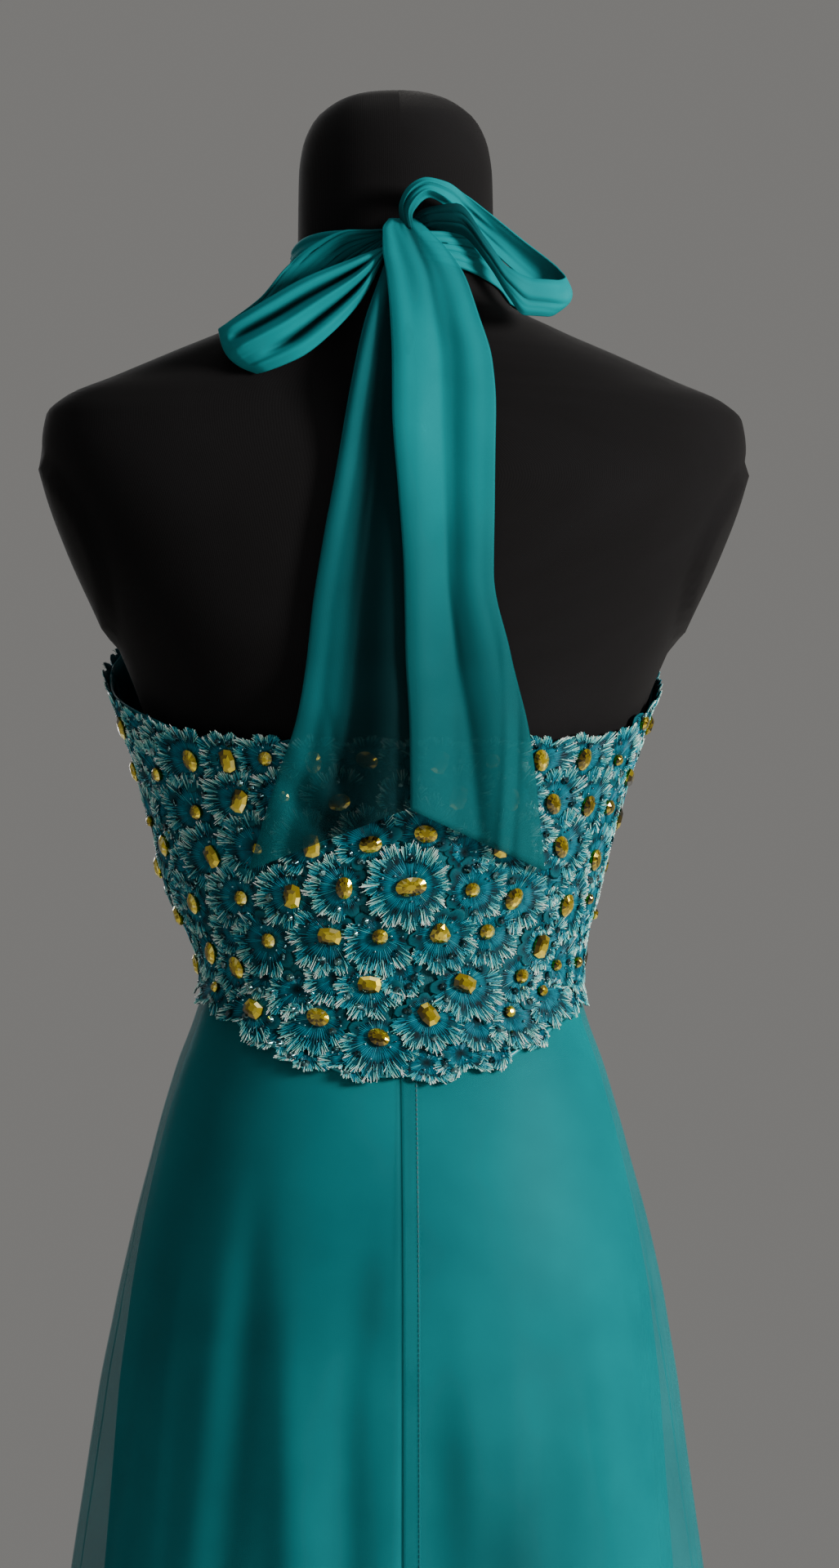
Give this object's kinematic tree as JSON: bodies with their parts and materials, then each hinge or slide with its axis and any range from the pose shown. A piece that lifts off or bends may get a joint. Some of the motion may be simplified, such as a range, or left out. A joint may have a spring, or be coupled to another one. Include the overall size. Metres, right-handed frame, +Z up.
{
  "type": "halter evening gown on a limbless dress form",
  "caption": "Full-length halter evening gown: flower-lace bodice with stones, bow at the nape with long ends, chiffon skirt over satin, on a limbless dress form with a stand.",
  "frame": {"origin": "centre of the stand base's underside, on the floor", "axes": "+Z up, -Y towards the gown's front, +Y towards its back, +X towards the wearer's left"},
  "size_m": [0.5799, 0.4724, 1.61],
  "materials": {
    "black_jersey": "matt jersey cover",
    "stand_black_enamel": "satin black enamel",
    "teal_satin": "soft satin",
    "teal_chiffon": "sheer matt chiffon",
    "embroidered_lace": "embroidered lace with faceted stones"
  },
  "bodies": {
    "root": {"dress_form": "black_jersey", "stand_base": "stand_black_enamel", "stand_collar": "stand_black_enamel", "stand_pole": "stand_black_enamel", "underskirt_front": "teal_satin", "underskirt_back_left": "teal_satin", "underskirt_back_right": "teal_satin", "skirt_front": "teal_chiffon", "skirt_back_left": "teal_chiffon", "skirt_back_right": "teal_chiffon", "back_lap": "teal_chiffon", "bodice_front": "embroidered_lace", "bodice_back_left": "embroidered_lace", "bodice_back_right": "embroidered_lace", "halter_strap_left": "teal_chiffon", "halter_strap_right": "teal_chiffon", "bow_knot": "teal_chiffon", "bow_loop_left": "teal_chiffon", "bow_loop_right": "teal_chiffon", "tie_end_left": "teal_chiffon", "tie_end_right": "teal_chiffon"}
  },
  "joints": []
}
